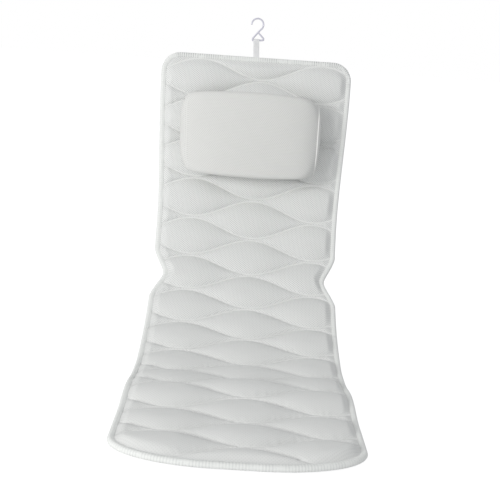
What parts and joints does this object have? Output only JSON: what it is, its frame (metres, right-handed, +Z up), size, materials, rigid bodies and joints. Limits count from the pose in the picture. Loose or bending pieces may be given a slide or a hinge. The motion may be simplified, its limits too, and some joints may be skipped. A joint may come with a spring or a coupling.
{
  "type": "bath pillow mat",
  "caption": "Full-body quilted air-mesh bath mat with a raised head pillow, bound edge, suction cups under it, a hanging strap and a hook.",
  "frame": {"origin": "on the tub floor, in the middle of the flat foot of the seat's middle suction cup", "axes": "+Z up, +Y from the feet to the head, +X across the mat, to the right as seen from its foot"},
  "size_m": [0.424, 0.7923, 0.6921],
  "materials": {
    "mat_mesh": "open air-mesh knit",
    "pillow_mesh": "fine mesh knit",
    "binding_tape": "woven tape, overlocked",
    "spacer_filling": "open spacer knit",
    "foam": "open-cell foam",
    "touch_fastening": "hook and loop tape",
    "suction_cup": "clear soft vinyl",
    "hook_plastic": "moulded, glossy"
  },
  "bodies": {
    "seat_section": {"seat_quilt": "mat_mesh", "seat_filling": "spacer_filling", "seat_backing": "mat_mesh", "seat_binding_left": "binding_tape", "seat_binding_right": "binding_tape", "seat_cup_1": "suction_cup", "seat_cup_2": "suction_cup", "seat_cup_3": "suction_cup"},
    "back_section": {"back_quilt": "mat_mesh", "back_filling": "spacer_filling", "back_backing": "mat_mesh", "back_binding": "binding_tape", "back_cup_1": "suction_cup", "back_cup_2": "suction_cup", "back_cup_3": "suction_cup", "back_cup_4": "suction_cup", "loop_strip_upper": "touch_fastening", "loop_strip_lower": "touch_fastening"},
    "leg_section": {"leg_quilt": "mat_mesh", "leg_filling": "spacer_filling", "leg_backing": "mat_mesh", "leg_binding": "binding_tape", "leg_cup_1": "suction_cup", "leg_cup_2": "suction_cup", "leg_cup_3": "suction_cup", "leg_cup_4": "suction_cup"},
    "head_pillow": {"pillow_cover": "pillow_mesh", "pillow_foam": "foam", "pillow_back_panel": "pillow_mesh", "pillow_end_left": "pillow_mesh", "pillow_end_right": "pillow_mesh", "pillow_piping_left": "binding_tape", "pillow_piping_right": "binding_tape", "hook_strip_upper": "touch_fastening", "hook_strip_lower": "touch_fastening"},
    "hanging_loop": {"hanging_strap": "binding_tape"},
    "hook": {"hook": "hook_plastic"}
  },
  "joints": [
    {"name": "waist_fold", "type": "hinge", "parent": "seat_section", "child": "back_section", "pos_m": [0, 0.26675, 0.13458], "axis": [1, 0, 0], "range_deg": [-40, 55]},
    {"name": "knee_fold", "type": "hinge", "parent": "seat_section", "child": "leg_section", "pos_m": [0, -0.0566, 0.01285], "axis": [-1, 0, 0], "range_deg": [0, 60]},
    {"name": "pillow_lift", "type": "slide", "parent": "back_section", "child": "head_pillow", "axis": [0, -0.9744, 0.225], "range_m": [0, 0.12]},
    {"name": "strap_fold", "type": "hinge", "parent": "back_section", "child": "hanging_loop", "pos_m": [-0.0033, 0.41297, 0.60927], "axis": [0.998, 0, 0.0628], "range_deg": [-90, 65]},
    {"name": "hook_swing", "type": "hinge", "parent": "hanging_loop", "child": "hook", "pos_m": [-0.00174, 0.41297, 0.64344], "axis": [0.998, 0, 0.0628], "range_deg": [-100, 100]}
  ]
}
